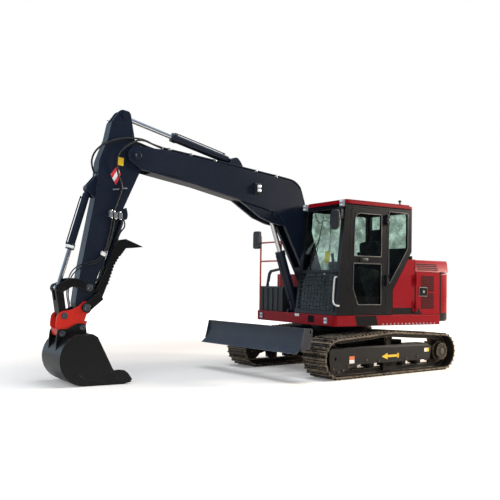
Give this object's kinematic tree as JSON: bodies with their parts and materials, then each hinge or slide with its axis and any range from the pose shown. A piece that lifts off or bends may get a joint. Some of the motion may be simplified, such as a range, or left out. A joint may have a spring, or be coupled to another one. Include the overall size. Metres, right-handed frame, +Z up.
{
  "type": "crawler excavator",
  "caption": "Crawler excavator with slewing cab structure, jointed boom, arm, quick hitch, bucket and thumb, and a front blade.",
  "frame": {"origin": "on the slew axis, on the ground", "axes": "+X forward along the tracks, +Y to the cab side, +Z up; the upper structure is slewed 6 degrees clockwise"},
  "size_m": [6.1939, 2.3541, 3.5259],
  "materials": {
    "track_steel": "worn",
    "frame_paint": "dusty satin",
    "blade_paint": "worn satin",
    "body_red": "gloss",
    "cab_black": "satin",
    "boom_paint": "satin",
    "chrome_rod": "polished",
    "hitch_red": "satin",
    "bucket_paint": "worn satin",
    "rail_red": "satin",
    "glass": "clear",
    "seat_fabric": "woven",
    "dark_plastic": "matte",
    "lamp_lens": "clear",
    "engine_iron": "matte"
  },
  "bodies": {
    "undercarriage": {"car_body": "frame_paint", "swing_bearing": "frame_paint", "left_track_frame": "frame_paint", "right_track_frame": "frame_paint", "left_track": "track_steel", "right_track": "track_steel", "drive_sprockets": "track_steel", "idlers": "track_steel", "rollers": "track_steel"},
    "blade": {"blade": "blade_paint"},
    "blade_barrel": {"blade_barrel": "boom_paint"},
    "blade_rod": {"blade_rod": "chrome_rod"},
    "upper": {"upper_frame": "cab_black", "skirt_rails": "body_red", "counterweight": "body_red", "engine_block": "engine_iron", "firewall": "cab_black", "left_panel": "body_red", "tank_housing": "body_red", "valve_cover": "cab_black", "toolbox": "dark_plastic", "handrail": "rail_red", "mirrors": "dark_plastic", "work_lamps": "lamp_lens", "cab_frame": "cab_black", "cab_roof": "body_red", "cab_glass": "glass", "front_guard": "cab_black", "seat": "seat_fabric", "controls": "dark_plastic"},
    "cab_door": {"cab_door": "cab_black", "door_glass": "glass"},
    "service_door_left": {"service_door_left": "body_red"},
    "service_door_right": {"service_door_right": "body_red"},
    "hood": {"hood": "body_red"},
    "boom": {"boom": "boom_paint"},
    "boom_barrel": {"boom_barrel": "boom_paint"},
    "boom_rod": {"boom_rod": "chrome_rod"},
    "arm_barrel": {"arm_barrel": "boom_paint"},
    "arm_rod": {"arm_rod": "chrome_rod"},
    "arm": {"arm": "boom_paint"},
    "bucket_barrel": {"bucket_barrel": "boom_paint"},
    "bucket_rod": {"bucket_rod": "chrome_rod"},
    "rocker": {"rocker_links": "bucket_paint"},
    "push_link": {"push_link": "bucket_paint"},
    "tool": {"quick_hitch": "hitch_red", "bucket": "bucket_paint"},
    "thumb": {"thumb": "bucket_paint"},
    "thumb_barrel": {"thumb_barrel": "boom_paint"},
    "thumb_rod": {"thumb_rod": "chrome_rod"}
  },
  "joints": [
    {"name": "slew", "type": "hinge", "parent": "undercarriage", "child": "upper", "pos_m": [0, 0, 0.638], "axis": [0, 0, 1], "continuous": true},
    {"name": "blade_lift", "type": "hinge", "parent": "undercarriage", "child": "blade", "pos_m": [0.8, 0, 0.43], "axis": [0, -1, 0], "range_deg": [-33, 0]},
    {"name": "blade_barrel_swing", "type": "hinge", "parent": "undercarriage", "child": "blade_barrel", "pos_m": [0.71, 0, 0.605], "axis": [0, -1, 0], "range_deg": [-29.04, 1]},
    {"name": "blade_rod_slide", "type": "slide", "parent": "blade_barrel", "child": "blade_rod", "axis": [0.9994, 0, -0.0333], "range_m": [-0.005, 0.09]},
    {"name": "boom_lift", "type": "hinge", "parent": "upper", "child": "boom", "pos_m": [0.46692, -0.14963, 1.2], "axis": [-0.1045, -0.9945, 0], "range_deg": [-58, 35]},
    {"name": "boom_barrel_swing", "type": "hinge", "parent": "upper", "child": "boom_barrel", "pos_m": [0.80506, -0.18517, 0.9], "axis": [-0.1045, -0.9945, 0], "range_deg": [-55.59, 33.94]},
    {"name": "boom_rod_slide", "type": "slide", "parent": "boom_barrel", "child": "boom_rod", "axis": [0.3305, -0.0347, 0.9432], "range_m": [-0.4231, 0.2573]},
    {"name": "arm_crowd", "type": "hinge", "parent": "boom", "child": "arm", "pos_m": [3.48728, -0.46708, 2.942], "axis": [0.1045, 0.9945, 0], "range_deg": [-70, 27]},
    {"name": "arm_barrel_swing", "type": "hinge", "parent": "boom", "child": "arm_barrel", "pos_m": [1.96367, -0.30694, 3.038], "axis": [-0.1045, -0.9945, 0], "range_deg": [-2.71, 5.43]},
    {"name": "arm_rod_slide", "type": "slide", "parent": "arm_barrel", "child": "arm_rod", "axis": [0.9659, -0.1015, 0.2384], "range_m": [-0.598, 0.2337]},
    {"name": "bucket_dump", "type": "hinge", "parent": "arm", "child": "tool", "pos_m": [4.11681, -0.53325, 0.95], "axis": [-0.1045, -0.9945, 0], "range_deg": [-55, 70]},
    {"name": "bucket_barrel_swing", "type": "hinge", "parent": "arm", "child": "bucket_barrel", "pos_m": [4.08399, -0.5298, 2.47], "axis": [-0.1045, -0.9945, 0], "range_deg": [-2.32, 2.68]},
    {"name": "bucket_rod_slide", "type": "slide", "parent": "bucket_barrel", "child": "bucket_rod", "axis": [0.2679, -0.0282, -0.963], "range_m": [-0.3244, 0.256]},
    {"name": "rocker_swing", "type": "hinge", "parent": "arm", "child": "rocker", "pos_m": [4.07703, -0.52906, 1.2], "axis": [-0.1045, -0.9945, 0], "range_deg": [-43.97, 55.68]},
    {"name": "push_link_swing", "type": "hinge", "parent": "tool", "child": "push_link", "pos_m": [4.38533, -0.56147, 0.85], "axis": [-0.1045, -0.9945, 0], "range_deg": [-50.91, 40.22]},
    {"name": "thumb_close", "type": "hinge", "parent": "arm", "child": "thumb", "pos_m": [4.11681, -0.53325, 0.95], "axis": [-0.1045, -0.9945, 0], "range_deg": [0, 98]},
    {"name": "thumb_barrel_swing", "type": "hinge", "parent": "arm", "child": "thumb_barrel", "pos_m": [3.61756, -0.48077, 2.14], "axis": [-0.1045, -0.9945, 0], "range_deg": [-6.28, 1]},
    {"name": "thumb_rod_slide", "type": "slide", "parent": "thumb_barrel", "child": "thumb_rod", "axis": [0.2879, -0.0303, -0.9572], "range_m": [-0.005, 0.3826]},
    {"name": "cab_door_open", "type": "hinge", "parent": "upper", "child": "cab_door", "pos_m": [0.13629, 1.03844, 1.6], "axis": [0, 0, 1], "range_deg": [0, 85]},
    {"name": "service_left_open", "type": "hinge", "parent": "upper", "child": "service_door_left", "pos_m": [-0.46241, 1.10137, 1.2], "axis": [0, 0, -1], "range_deg": [0, 80]},
    {"name": "service_right_open", "type": "hinge", "parent": "upper", "child": "service_door_right", "pos_m": [-0.67816, -0.95132, 1.2], "axis": [0, 0, 1], "range_deg": [0, 80]},
    {"name": "hood_lift", "type": "hinge", "parent": "upper", "child": "hood", "pos_m": [-0.57185, 0.0601, 1.707], "axis": [0.1045, 0.9945, 0], "range_deg": [0, 55]}
  ],
  "couplings": [
    {"joint": "blade_barrel_swing", "follows": "blade_lift", "ratio": 0.8498},
    {"joint": "blade_rod_slide", "follows": "blade_lift", "m_per_rad": -0.14755},
    {"joint": "boom_barrel_swing", "follows": "boom_lift", "ratio": 0.94126},
    {"joint": "boom_rod_slide", "follows": "boom_lift", "m_per_rad": 0.41303},
    {"joint": "arm_barrel_swing", "follows": "arm_crowd", "ratio": -0.063304},
    {"joint": "arm_rod_slide", "follows": "arm_crowd", "m_per_rad": 0.48535},
    {"joint": "bucket_barrel_swing", "follows": "bucket_dump", "ratio": 0.023995},
    {"joint": "bucket_rod_slide", "follows": "bucket_dump", "m_per_rad": -0.26145},
    {"joint": "rocker_swing", "follows": "bucket_dump", "ratio": 0.7812},
    {"joint": "push_link_swing", "follows": "bucket_dump", "ratio": -0.71306},
    {"joint": "thumb_barrel_swing", "follows": "thumb_close", "ratio": -0.053842},
    {"joint": "thumb_rod_slide", "follows": "thumb_close", "m_per_rad": 0.22075}
  ]
}
